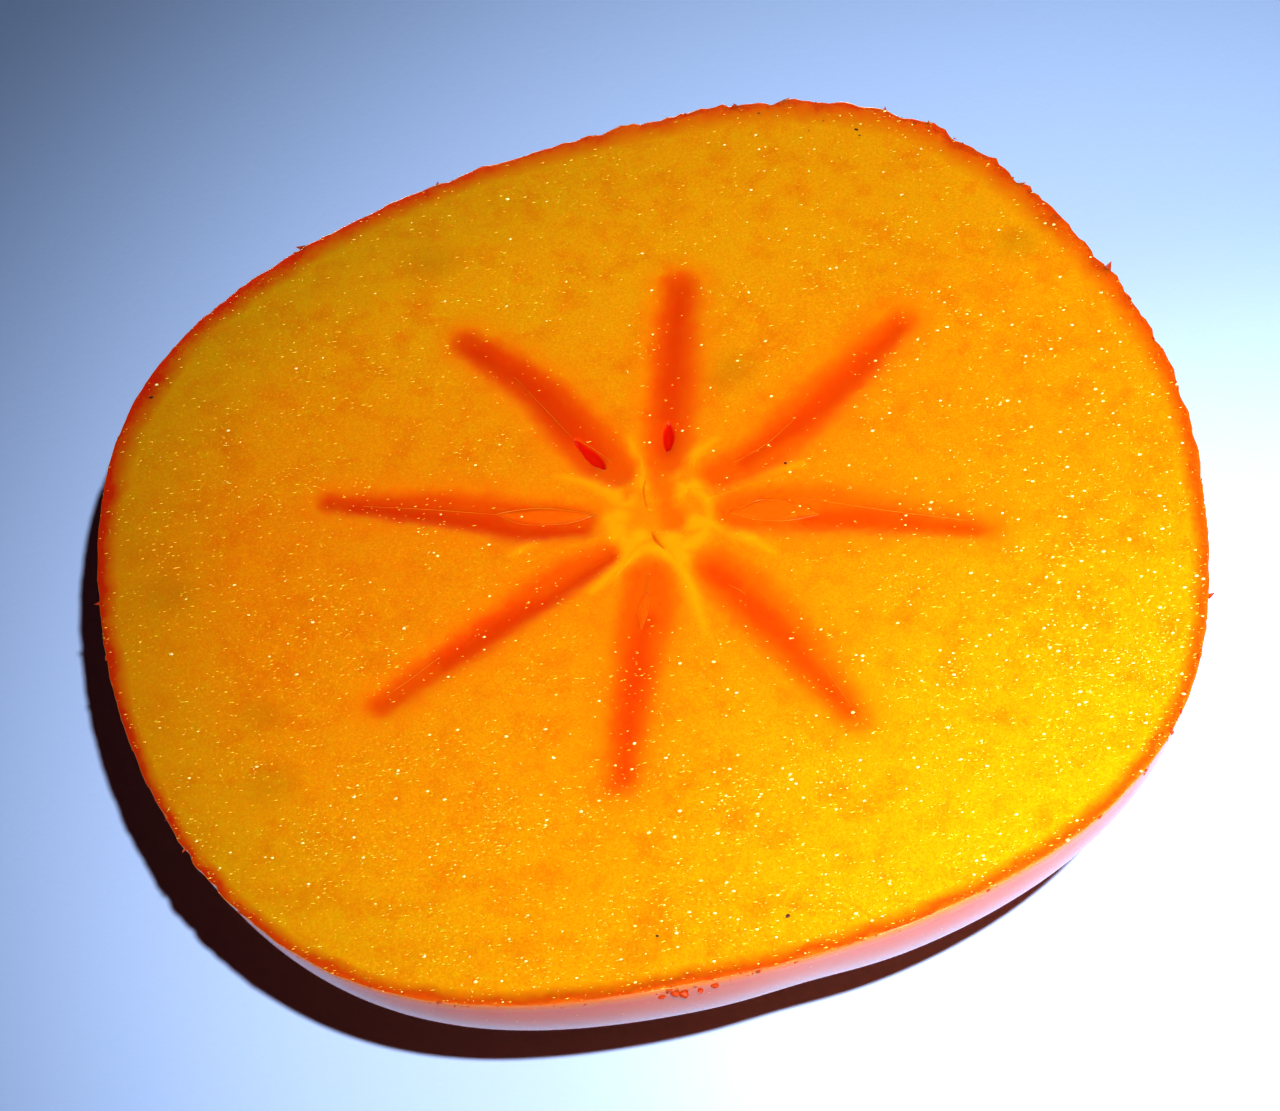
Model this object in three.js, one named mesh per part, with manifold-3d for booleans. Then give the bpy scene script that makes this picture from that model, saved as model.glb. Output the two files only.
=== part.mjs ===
// Half of a flat, four-sided persimmon, cut across its core a little below its widest line.
// It lies on its blossom end with the cut face up. The fruit grew as one piece, so it is one solid:
// the eight seed chambers are sunk into the cut face as the rays of a star round a soft core, and
// two of them stand open as slits. The hidden underside has the fruit's four shallow seams, a small
// flat spot that it rests on, and a dimple that holds the dried tip of the blossom.
//
// Millimetres and degrees, +Z up. The origin is on the surface that the fruit rests on, at the
// middle of its bounding box.
import * as THREE from "three";
import { mergeVertices } from "three/addons/utils/BufferGeometryUtils.js";
import Module from "manifold-3d";

const wasm = await Module();
wasm.setup();

const degree = Math.PI / 180;

// The whole fruit half.
const meanRadius = 38; // of the cut face, from the fruit's axis to the skin
const height = 20; // from the surface that it rests on to the cut face
const equatorAboveCut = 2.6; // the fruit was widest this far above the knife's path
const poleFlattening = 0.4; // how far the rounded blossom end is flattened where it rests
const squareness = 2.25; // of the side's curve: 2 is an ellipse, and more has a fuller shoulder

// The cut face's outline swings in and out round its mean radius. Each row has the number of waves
// round the fruit, their share of the mean radius, and the direction of one crest.
const outlineWaves = [
  [1, 0.008, 308],
  [2, 0.018, 36],
  [3, 0.011, 58],
  [4, 0.034, 54],
  [5, 0.004, 7],
  [6, 0.004, 3],
  [7, 0.003, 7],
  [8, 0.004, 12],
];

// Four shallow seams run down the skin between the fruit's four shoulders.
const seams = { count: 4, direction: 9, depth: 0.35, spread: 7 };

// The blossom end: a dimple in the rest spot, with the dried tip of the blossom inside it.
const dimple = { radius: 4.5, depth: 0.9 };
const blossomTip = { radius: 0.8, length: 0.6 };

// The star. Its centre is a little to one side of the fruit's middle.
const starCentre = new THREE.Vector2(0.9, 0.1);
const core = { length: 5.8, width: 5, depth: 0.3, turn: 60 };
const rayDepth = 0.45; // how far the soft jelly of a seed chamber lies below the cut
const rayTaper = 0.45; // share of its width that a ray loses by its tip

// Each ray: its full width, and four points on its midline as distance and direction from the
// star's centre.
const rays = {
  north: { width: 2.9, route: [[4.2, 75.5], [7.7, 77.2], [13.5, 78], [21.9, 78.6]] },
  northEast: { width: 3.0, route: [[4.4, 33.4], [9.1, 28.6], [15.5, 33], [24.4, 35.8]] },
  east: { width: 3.5, route: [[4.4, -7], [9.3, -7.3], [15, -11.5], [23.2, -14.5]] },
  southEast: { width: 3.3, route: [[4.8, -58.5], [9.1, -58.3], [14.5, -59.7], [22.5, -61.4]] },
  south: { width: 3.1, route: [[4.1, -106], [7.7, -103.6], [13.5, -104.4], [22.5, -103.8]] },
  southWest: { width: 2.5, route: [[4, -148], [7.5, -152], [13.5, -150.1], [24, -149.7]] },
  west: { width: 3.0, route: [[4.1, 172.6], [9.2, 169.6], [14.5, 165.2], [23.6, 164.6]] },
  northWest: { width: 3.2, route: [[4.3, 115], [7.9, 118.4], [14, 117.7], [22.5, 121.5]] },
};

// The two chambers that stand open: full width, depth, and the ends of the slit.
const slits = {
  north: { width: 0.8, depth: 5, route: [[5.5, 76.3], [8.5, 77.7]] },
  northWest: { width: 1.0, depth: 6, route: [[5.9, 121.3], [9.8, 121.1]] },
};

// How finely the curved surfaces are divided.
const stepsAround = 120;
const stepsDown = 20;
const podSteps = { around: 16, along: 18 };

// Moves each vertex of a geometry to where the rule puts it.
function reshape(geometry, rule) {
  const position = geometry.getAttribute("position");
  const vertex = new THREE.Vector3();
  for (let i = 0; i < position.count; i++) {
    rule(vertex.fromBufferAttribute(position, i));
    position.setXYZ(i, vertex.x, vertex.y, vertex.z);
  }
  return geometry;
}

// A closed geometry as a solid that can be cut.
function solidFrom(geometry) {
  geometry.deleteAttribute("normal");
  geometry.deleteAttribute("uv");
  const merged = mergeVertices(geometry, 1e-4);
  const vertProperties = merged.getAttribute("position").array;
  const triVerts = new Uint32Array(merged.index.array);
  return new wasm.Manifold(new wasm.Mesh({ numProp: 3, vertProperties, triVerts }));
}

// A solid as a geometry to show.
function geometryFrom(solid) {
  const { vertProperties, triVerts } = solid.getMesh();
  const geometry = new THREE.BufferGeometry();
  geometry.setAttribute("position", new THREE.BufferAttribute(vertProperties, 3));
  geometry.setIndex(new THREE.BufferAttribute(triVerts, 1));
  geometry.computeVertexNormals();
  return geometry;
}

// Distance from the fruit's axis to the edge of the cut face, in one direction.
function rimRadius(direction) {
  const swing = outlineWaves.map(
    ([waves, share, crest]) => share * Math.cos(waves * (direction - crest * degree)),
  );
  return meanRadius * (1 + swing.reduce((sum, wave) => sum + wave, 0));
}

// The side's curve is a quarter of a squared ellipse, from the equator down to the pole. The turn
// goes from 0 at the equator to a right angle at the pole.
const equatorToPole = equatorAboveCut + height + poleFlattening;
const turnAtDepth = (depth) => Math.asin((depth / equatorToPole) ** (squareness / 2));
const turnAtCut = turnAtDepth(equatorAboveCut);
const turnAtRest = turnAtDepth(equatorAboveCut + height);
const widthAtTurn = (turn) => (Math.cos(turn) / Math.cos(turnAtCut)) ** (2 / squareness);
const heightAtTurn = (turn) => {
  const depth = equatorToPole * Math.sin(turn) ** (2 / squareness);
  return equatorAboveCut + height - depth;
};

// The fruit's section from its blossom end up to the middle of the cut face. Its first number is a
// share of the rim's radius, so that every level keeps the four-sided outline.
function fruitSection() {
  const tipFoot = dimple.depth;
  const inDimple = [0.45, 0.62, 0.82, 1].map((share) => {
    const rise = Math.cos((share * Math.PI) / 2) ** 0.75;
    return [(share * dimple.radius) / meanRadius, dimple.depth * rise];
  });
  const points = [
    [0, tipFoot - blossomTip.length],
    [(0.5 * blossomTip.radius) / meanRadius, tipFoot - 0.8 * blossomTip.length],
    [blossomTip.radius / meanRadius, tipFoot],
    ...inDimple,
  ];
  for (let step = stepsDown; step >= 0; step--) {
    const turn = turnAtCut + ((turnAtRest - turnAtCut) * step) / stepsDown;
    points.push([widthAtTurn(turn), Math.max(0, heightAtTurn(turn))]);
  }
  points.push([0, height]);
  return points.map(([share, level]) => new THREE.Vector2(share, level));
}

// How deep a seam is at one direction and level of the skin: deepest half way down the side.
function seamDepth(direction, level) {
  const spacing = 360 / seams.count;
  const away = (((direction / degree - seams.direction) % spacing) + 1.5 * spacing) % spacing;
  const across = Math.exp(-(((away - spacing / 2) / seams.spread) ** 2));
  const down = Math.sin(Math.PI * THREE.MathUtils.clamp(level / height, 0, 1));
  return seams.depth * across * down;
}

// The uncut half: the section turned about the axis, then pushed out to the fruit's own outline.
function fruitBody() {
  const geometry = new THREE.LatheGeometry(fruitSection(), stepsAround);
  geometry.rotateX(90 * degree);
  return reshape(geometry, (vertex) => {
    const direction = Math.atan2(vertex.y, vertex.x);
    const share = Math.hypot(vertex.x, vertex.y);
    const onSkin = share > dimple.radius / meanRadius;
    const seam = onSkin ? seamDepth(direction, vertex.z) : 0;
    const radius = share * rimRadius(direction) - seam;
    vertex.x = radius * Math.cos(direction);
    vertex.y = radius * Math.sin(direction);
  });
}

// The midline of a ray or slit, in the plane of the cut.
function midline(route) {
  const points = route.map(([distance, direction]) => {
    const x = starCentre.x + distance * Math.cos(direction * degree);
    const y = starCentre.y + distance * Math.sin(direction * degree);
    return new THREE.Vector3(x, y, height);
  });
  return new THREE.CatmullRomCurve3(points);
}

// A blunt-ended pod along a midline, half above the cut and half below it.
function pod({ width, depth, route }, taper) {
  const line = midline(route);
  const sphere = new THREE.SphereGeometry(1, podSteps.around, podSteps.along);
  return reshape(sphere, (vertex) => {
    const along = (1 - vertex.y) / 2;
    const ring = Math.hypot(vertex.x, vertex.z);
    const fullness = ring > 0 ? (ring ** 0.6 * (1 - taper * along)) / ring : 0;
    const place = line.getPointAt(along);
    const heading = line.getTangentAt(along);
    const across = (vertex.x * fullness * width) / 2;
    const sunk = vertex.z * fullness * depth;
    vertex.set(place.x - heading.y * across, place.y + heading.x * across, place.z + sunk);
  });
}

// The soft core, as a shallow hollow in the middle of the star.
function coreHollow() {
  const geometry = new THREE.SphereGeometry(1, 32, 16);
  geometry.rotateX(90 * degree);
  geometry.scale(core.length / 2, core.width / 2, core.depth);
  geometry.rotateZ(core.turn * degree);
  return geometry.translate(starCentre.x, starCentre.y, height);
}

const hollows = [
  ...Object.values(rays).map((ray) => pod({ ...ray, depth: rayDepth }, rayTaper)),
  ...Object.values(slits).map((slit) => pod(slit, 0)),
  coreHollow(),
];
let fruit = solidFrom(fruitBody());
for (const hollow of hollows) {
  fruit = fruit.subtract(solidFrom(hollow));
}

const fruitGeometry = geometryFrom(fruit);
fruitGeometry.computeBoundingBox();
const middle = fruitGeometry.boundingBox.getCenter(new THREE.Vector3());
fruitGeometry.translate(-middle.x, -middle.y, 0);

const ripeFlesh = new THREE.MeshStandardMaterial({ color: 0xff9a12, roughness: 0.4, metalness: 0 });
const half = new THREE.Mesh(fruitGeometry, ripeFlesh);
half.name = "persimmon_half";

const persimmon = new THREE.Group();
persimmon.add(half);

export default persimmon;
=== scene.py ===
# A flat persimmon cut across its core, lying cut face up: wet flesh with a star of jelly, and
# waxy skin.
import math

import bpy
import numpy as np
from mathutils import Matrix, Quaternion, Vector


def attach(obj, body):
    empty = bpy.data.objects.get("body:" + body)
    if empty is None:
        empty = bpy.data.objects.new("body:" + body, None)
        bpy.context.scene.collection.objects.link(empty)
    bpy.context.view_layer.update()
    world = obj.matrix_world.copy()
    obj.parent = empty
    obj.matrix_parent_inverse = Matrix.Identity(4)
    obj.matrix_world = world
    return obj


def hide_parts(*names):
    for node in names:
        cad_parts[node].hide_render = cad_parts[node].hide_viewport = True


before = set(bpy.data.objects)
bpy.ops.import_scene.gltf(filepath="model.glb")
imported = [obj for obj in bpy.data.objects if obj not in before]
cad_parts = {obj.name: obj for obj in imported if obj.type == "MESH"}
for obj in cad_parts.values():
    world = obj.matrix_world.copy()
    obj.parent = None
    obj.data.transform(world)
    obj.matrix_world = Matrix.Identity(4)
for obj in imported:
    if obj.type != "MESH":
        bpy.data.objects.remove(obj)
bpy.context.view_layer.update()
mm = 0.001  # the scene is in metres, and the sizes below are in millimetres


def linear(hexColour):  # an sRGB hex colour as linear values
    channels = [int(hexColour[i:i + 2], 16) / 255 for i in (1, 3, 5)]
    return [c / 12.92 if c <= 0.04045 else ((c + 0.055) / 1.055) ** 2.4 for c in channels] + [1]


# Adds a node with its settings and fills its inputs: an output is linked, anything else is a value.
def add(tree, kind, inputs=None, output=0, **settings):
    node = tree.nodes.new(kind)
    for name, value in settings.items():
        setattr(node, name, value)
    for name, value in (inputs or {}).items():
        if isinstance(name, int):
            socket = node.inputs[name]
        else:
            socket = next(s for s in node.inputs if s.name == name and s.enabled)
        if isinstance(value, bpy.types.NodeSocket):
            tree.links.new(value, socket)
        else:
            socket.default_value = value
    shown = [s for s in node.outputs if s.enabled]
    if isinstance(output, str):
        return next(s for s in shown if s.name == output)
    return shown[output] if shown else node


def newTree(name, inputs):  # a Geometry Nodes tree with named inputs
    tree = bpy.data.node_groups.new(name, "GeometryNodeTree")
    for label, kind in inputs.items():
        tree.interface.new_socket(label, in_out="INPUT", socket_type="NodeSocket" + kind)
    tree.interface.new_socket("Geometry", in_out="OUTPUT", socket_type="NodeSocketGeometry")
    return tree, tree.nodes.new("NodeGroupInput").outputs


def endTree(tree, geometry, *materials):  # each material comes with the faces that it is for
    geometry = add(tree, "GeometryNodeRealizeInstances", {"Geometry": geometry})
    for material, selection in materials:
        geometry = add(tree, "GeometryNodeSetMaterial", {
            "Geometry": geometry, "Selection": selection, "Material": material})
    add(tree, "NodeGroupOutput", {0: geometry})


def useTree(piece, tree, values):
    modifier = piece.modifiers.new(tree.name, "NODES")
    modifier.node_group = tree
    for item in tree.interface.items_tree:
        if item.in_out == "INPUT" and item.name in values:
            modifier[item.identifier] = values[item.name]


def settle(piece):  # what the modifiers make becomes the piece's plain mesh
    graph = bpy.context.evaluated_depsgraph_get()
    mesh = bpy.data.meshes.new_from_object(
        piece.evaluated_get(graph), preserve_all_data_layers=True, depsgraph=graph)
    piece.modifiers.clear()
    piece.data = mesh
    print(piece.name, len(mesh.polygons), "faces")
    return piece


def meshPiece(name, points, edges=(), faces=(), **attributes):  # points are in millimetres
    mesh = bpy.data.meshes.new(name)
    mesh.from_pydata([Vector(p) * mm for p in points], edges, faces)
    for label, values in attributes.items():
        mesh.attributes.new(label, "FLOAT", "POINT").data.foreach_set("value", list(values))
    piece = bpy.data.objects.new(name, mesh)
    bpy.context.scene.collection.objects.link(piece)
    return piece


# The fruit half, with the CAD solid's own measures.
fruit = {
    "meanRadius": 38.0,
    "height": 20.0,
    "equatorAboveCut": 2.6,  # the fruit was widest this far above the knife's path
    "poleFlattening": 0.4,
    "squareness": 2.25,  # 2 is an ellipse, and more has a fuller shoulder
    "outlineWaves": [  # waves round the fruit, share of the mean radius, direction of one crest
        (1, 0.008, 308), (2, 0.018, 36), (3, 0.011, 58), (4, 0.034, 54),
        (5, 0.004, 7), (6, 0.004, 3), (7, 0.003, 7), (8, 0.004, 12)],
    "seams": {"count": 4, "direction": 9, "depth": 0.35, "spread": 7},
    "dimple": {"radius": 4.5, "depth": 0.9},
    "tip": {"radius": 0.8, "length": 0.6},
    "lip": 0.12,  # radius of the edge between the skin and the cut
    "sag": {"depth": 0.06, "reach": 1.5},  # soft flesh sinks a little beside the skin
    "tear": {  # of the rim, where the knife came out
        "depth": 2.4, "length": 2.2,
        "down": (0.4, 1.6),  # how far below the cut it is whole, and how far it ends
        "inwards": 1.2,
    },
    "ripple": {"depth": 0.07, "length": 14.0},  # left by the knife
    "stepsAround": 480,
    "stepsDown": 38,
    "faceSteps": [(27.0, 0.7), (11.0, 0.32), (0.0, 0.18)],  # down to this radius, in steps of this
}

# The dark band under the skin is broad on one side of the cut and thin on the other, and the skin
# is torn where the knife came out: direction, width of the band, raggedness, redness.
rimChanges = [
    (-160, 0.9, 0.15, 0.9), (-146, 0.9, 0.5, 0.9), (-136, 0.9, 0.2, 0.7), (-110, 1.1, 0.1, 0.1),
    (-90, 1.3, 0.1, 0.0), (-60, 1.2, 0.1, 0.0), (-20, 1.1, 0.25, 0.0), (5, 1.2, 0.5, 0.0),
    (30, 1.8, 0.9, 0.0), (55, 2.1, 1.0, 0.0), (75, 2.1, 0.95, 0.1), (100, 1.6, 0.6, 0.7),
    (125, 1.7, 0.4, 1.0), (150, 1.8, 0.2, 1.0), (180, 1.2, 0.15, 1.0)]

steps = fruit["stepsAround"]
directions = np.arange(steps) * 2 * math.pi / steps
rimRadius = fruit["meanRadius"] * (1 + sum(
    share * np.cos(waves * (directions - math.radians(crest)))
    for waves, share, crest in fruit["outlineWaves"]))
rimPoints = np.stack([rimRadius * np.cos(directions), rimRadius * np.sin(directions)], axis=1)
# As in the CAD, the bounding box is centred.
axis = -(rimPoints.max(axis=0) + rimPoints.min(axis=0)) / 2


def outlinePiece():
    seams = fruit["seams"]
    spacing = 360 / seams["count"]
    turns = np.degrees(directions)
    away = (turns - seams["direction"] + spacing / 2) % spacing - spacing / 2
    marks = np.array(sorted((change[0] % 360, *change[1:]) for change in rimChanges))
    band, ragged, redness = (np.interp(turns, marks[:, 0], marks[:, i], period=360) for i in (1, 2, 3))
    points = [(x, y, fruit["height"]) for x, y in rimPoints]
    loop = [(i, (i + 1) % steps) for i in range(steps)]
    return meshPiece("outline", points, loop, seam=np.exp(-(away / seams["spread"]) ** 2),
                     band=band, ragged=ragged, redness=redness)


# From the blossom's tip, down the dimple and up the side, then over the rim and in to the core.
def sectionPiece():
    dimple, tip, lip, sag = fruit["dimple"], fruit["tip"], fruit["lip"], fruit["sag"]
    height, mean = fruit["height"], fruit["meanRadius"]
    toPole = fruit["equatorAboveCut"] + height + fruit["poleFlattening"]
    power = fruit["squareness"] / 2
    cutTurn = math.asin((fruit["equatorAboveCut"] / toPole) ** power)
    restTurn = math.asin(((fruit["equatorAboveCut"] + height) / toPole) ** power)
    rows = []  # radius, level, on the cut, share of the seams' depth, dried
    for share in np.linspace(0, 1, 6, endpoint=False):
        rise = tip["length"] * math.sqrt(1 - share ** 2)
        rows.append((share * tip["radius"], dimple["depth"] - rise, 0, 0, 1))
    for radius in np.linspace(tip["radius"], dimple["radius"], 11, endpoint=False):
        bowl = math.cos(radius / dimple["radius"] * math.pi / 2) ** 0.75
        dried = math.exp(-(radius - tip["radius"]) / 0.5)
        rows.append((radius, dimple["depth"] * bowl, 0, 0, dried))
    rows += [(dimple["radius"] * grow, 0, 0, 0, 0) for grow in (1, 1.15, 1.4, 1.7)]
    for turn in np.linspace(restTurn, cutTurn, fruit["stepsDown"]):
        level = fruit["equatorAboveCut"] + height - toPole * math.sin(turn) ** (1 / power)
        level = max(0, level)
        radius = mean * (math.cos(turn) / math.cos(cutTurn)) ** (1 / power)
        if level < height - lip - sag["depth"]:
            rows.append((radius, level, 0, math.sin(math.pi * level / height), 0))
    for bend in np.radians([0, 22, 45, 67, 90]):
        radius = mean - lip * (1 - math.cos(bend))
        level = height - sag["depth"] - lip * (1 - math.sin(bend))
        rows.append((radius, level, float(bend > 0.7), 0, 0))
    outer = mean - lip
    for inner, step in fruit["faceSteps"]:
        count = round((outer - inner) / step)
        for radius in np.linspace(outer, inner, count + 1)[1:]:
            level = height - sag["depth"] * math.exp(-(mean - lip - radius) / sag["reach"])
            rows.append((radius, level, 1, 0, 0))
        outer = inner
    rows = np.array(rows)
    points = [(radius / mean, 0, level) for radius, level in rows[:, :2]]
    return meshPiece("section", points, onCut=rows[:, 2], seamShare=rows[:, 3], dried=rows[:, 4])


# The section is carried round the outline. Its x is a share of the outline's own radius.
def fruitTree():
    tree, given = newTree("fruitHalf", {
        "Outline": "Object", "Section": "Object", "Steps": "Int", "Rows": "Int", "Axis": "Vector",
        "Height": "Float", "Seam Depth": "Float", "Ripple Depth": "Float", "Ripples": "Float",
        "Tear Depth": "Float", "Tears": "Float", "Skin": "Material", "Flesh": "Material"})
    outline = add(tree, "GeometryNodeObjectInfo", {"Object": given["Outline"]}, output="Geometry")
    section = add(tree, "GeometryNodeObjectInfo", {"Object": given["Section"]}, output="Geometry")
    columns = add(tree, "FunctionNodeIntegerMath", {0: given["Steps"], 1: 1}, operation="ADD")
    grid = add(tree, "GeometryNodeMeshGrid", {"Vertices X": columns, "Vertices Y": given["Rows"]})
    index = add(tree, "GeometryNodeInputIndex")
    column = add(tree, "FunctionNodeIntegerMath", {0: index, 1: given["Rows"]}, operation="DIVIDE_FLOOR")
    column = add(tree, "FunctionNodeIntegerMath", {0: column, 1: given["Steps"]}, operation="MODULO")
    row = add(tree, "FunctionNodeIntegerMath", {0: index, 1: given["Rows"]}, operation="MODULO")
    place = add(tree, "GeometryNodeInputPosition")
    rim = add(tree, "GeometryNodeSampleIndex", {
        "Geometry": outline, "Value": place, "Index": column}, data_type="FLOAT_VECTOR")
    level = add(tree, "GeometryNodeSampleIndex", {
        "Geometry": section, "Value": place, "Index": row}, data_type="FLOAT_VECTOR")
    share = add(tree, "ShaderNodeSeparateXYZ", {"Vector": level}, output="X")
    share = add(tree, "ShaderNodeMath", {0: share, 1: 1 / mm}, operation="MULTIPLY")
    flatRim = add(tree, "ShaderNodeVectorMath", {0: rim, 1: (1, 1, 0)}, operation="MULTIPLY")
    rimLength = add(tree, "ShaderNodeVectorMath", {0: flatRim}, output="Value", operation="LENGTH")

    values = {}
    for source, where, labels in ((outline, column, ("seam", "band", "ragged", "redness")),
                                  (section, row, ("onCut", "seamShare", "dried"))):
        for label in labels:
            named = add(tree, "GeometryNodeInputNamedAttribute", {"Name": label}, data_type="FLOAT")
            values[label] = add(tree, "GeometryNodeSampleIndex", {
                "Geometry": source, "Value": named, "Index": where}, data_type="FLOAT")

    seam = add(tree, "ShaderNodeMath", {0: values["seam"], 1: values["seamShare"]}, operation="MULTIPLY")
    seam = add(tree, "ShaderNodeMath", {0: seam, 1: given["Seam Depth"]}, operation="MULTIPLY")
    radius = add(tree, "ShaderNodeMath", {0: rimLength, 1: share}, operation="MULTIPLY")
    gap = add(tree, "ShaderNodeMath", {0: rimLength, 1: radius}, operation="SUBTRACT")
    gap = add(tree, "ShaderNodeMath", {0: gap, 1: 1 / mm}, operation="MULTIPLY")
    radius = add(tree, "ShaderNodeMath", {0: radius, 1: seam}, operation="SUBTRACT")

    # The rim is torn, so it wanders in and out. Neither the face nor the side does.
    top = add(tree, "ShaderNodeSeparateXYZ", {"Vector": level}, output="Z")
    below = add(tree, "ShaderNodeMath", {0: given["Height"], 1: top}, operation="SUBTRACT")
    nearTop = add(tree, "ShaderNodeMapRange", {
        "Value": below, "From Min": fruit["tear"]["down"][1] * mm,
        "From Max": fruit["tear"]["down"][0] * mm}, interpolation_type="SMOOTHSTEP")
    nearRim = add(tree, "ShaderNodeMapRange", {
        "Value": gap, "From Min": fruit["tear"]["inwards"], "From Max": 0},
        interpolation_type="SMOOTHSTEP")
    tear = add(tree, "ShaderNodeTexNoise", {
        "Vector": rim, "Scale": given["Tears"], "Detail": 4, "Roughness": 0.75})
    tear = add(tree, "ShaderNodeMath", {0: tear, 1: 0.4}, operation="SUBTRACT")
    for factor in (nearTop, nearRim, values["ragged"], given["Tear Depth"]):
        tear = add(tree, "ShaderNodeMath", {0: tear, 1: factor}, operation="MULTIPLY")
    radius = add(tree, "ShaderNodeMath", {0: radius, 1: tear}, operation="ADD")
    outward = add(tree, "ShaderNodeVectorMath", {0: flatRim}, operation="NORMALIZE")
    spread = add(tree, "ShaderNodeVectorMath", {0: outward, "Scale": radius}, operation="SCALE")
    upright = add(tree, "ShaderNodeVectorMath", {0: level, 1: (0, 0, 1)}, operation="MULTIPLY")
    spot = add(tree, "ShaderNodeVectorMath", {0: spread, 1: upright}, operation="ADD")
    spot = add(tree, "ShaderNodeVectorMath", {0: spot, 1: given["Axis"]}, operation="ADD")

    # The knife's ripples only sink, so that the cut stays at the CAD solid's height.
    noise = add(tree, "ShaderNodeTexNoise", {
        "Vector": spot, "Scale": given["Ripples"], "Detail": 3, "Roughness": 0.4})
    sink = add(tree, "ShaderNodeMath", {0: noise, 1: given["Ripple Depth"]}, operation="MULTIPLY")
    sink = add(tree, "ShaderNodeMath", {0: sink, 1: values["onCut"]}, operation="MULTIPLY")
    down = add(tree, "ShaderNodeVectorMath", {0: (0, 0, -1), "Scale": sink}, operation="SCALE")

    body = add(tree, "GeometryNodeSetPosition", {"Geometry": grid, "Position": spot, "Offset": down})
    values["rimGap"] = gap
    for label in ("rimGap", "band", "ragged", "redness", "onCut", "dried"):
        body = add(tree, "GeometryNodeStoreNamedAttribute", {
            "Geometry": body, "Name": label, "Value": values[label]}, data_type="FLOAT", domain="POINT")
    # The two poles and the join of the first and last columns are closed.
    body = add(tree, "GeometryNodeMergeByDistance", {"Geometry": body, "Distance": 0.0002 * mm})
    body = add(tree, "GeometryNodeSetShadeSmooth", {"Geometry": body})
    cut = add(tree, "GeometryNodeInputNamedAttribute", {"Name": "onCut"}, data_type="FLOAT")
    cut = add(tree, "FunctionNodeCompare", {"A": cut, "B": 0.99}, operation="GREATER_THAN")
    endTree(tree, body, (given["Skin"], True), (given["Flesh"], cut))
    return tree


# Marks a shape in the cut round the paths of a mesh, and sinks it. Each point of a path has its own
# half width. The attribute holds the distance inside the shape's edge, in millimetres.
def stampTree():
    tree, given = newTree("stamp", {
        "Geometry": "Geometry", "Paths": "Object", "Name": "String", "Level": "Float",
        "Softness": "Float", "Depth": "Float"})
    paths = add(tree, "GeometryNodeObjectInfo", {"Object": given["Paths"]}, output="Geometry")
    place = add(tree, "GeometryNodeInputPosition")
    parts = add(tree, "ShaderNodeSeparateXYZ", {"Vector": place}).node.outputs
    flat = add(tree, "ShaderNodeCombineXYZ", {"X": parts["X"], "Y": parts["Y"], "Z": given["Level"]})
    away = add(tree, "GeometryNodeProximity", {0: paths, "Sample Position": flat},
               output="Distance", target_element="EDGES")
    nearest = add(tree, "GeometryNodeSampleNearest", {"Geometry": paths, "Sample Position": flat})
    width = add(tree, "GeometryNodeInputNamedAttribute", {"Name": "halfWidth"}, data_type="FLOAT")
    width = add(tree, "GeometryNodeSampleIndex", {
        "Geometry": paths, "Value": width, "Index": nearest}, data_type="FLOAT")
    away = add(tree, "ShaderNodeMath", {0: away, 1: 1 / mm}, operation="MULTIPLY")
    inside = add(tree, "ShaderNodeMath", {0: width, 1: away}, operation="SUBTRACT")
    onCut = add(tree, "GeometryNodeInputNamedAttribute", {"Name": "onCut"}, data_type="FLOAT")
    marked = add(tree, "GeometryNodeStoreNamedAttribute", {
        "Geometry": given["Geometry"], "Name": given["Name"], "Value": inside},
        data_type="FLOAT", domain="POINT")
    softness = add(tree, "ShaderNodeMath", {0: given["Softness"], 1: -1}, operation="MULTIPLY")
    mask = add(tree, "ShaderNodeMapRange", {
        "Value": inside, "From Min": softness, "From Max": given["Softness"]},
        interpolation_type="SMOOTHSTEP")
    mask = add(tree, "ShaderNodeMath", {0: mask, 1: onCut}, operation="MULTIPLY")
    sink = add(tree, "ShaderNodeMath", {0: mask, 1: given["Depth"]}, operation="MULTIPLY")
    down = add(tree, "ShaderNodeVectorMath", {0: (0, 0, -1), "Scale": sink}, operation="SCALE")
    endTree(tree, add(tree, "GeometryNodeSetPosition", {"Geometry": marked, "Offset": down}))
    return tree


# Everything in the star is placed by distance and direction from its centre, then half width.
starCentre = Vector((0.9 + axis[0], 0.1 + axis[1]))

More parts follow.
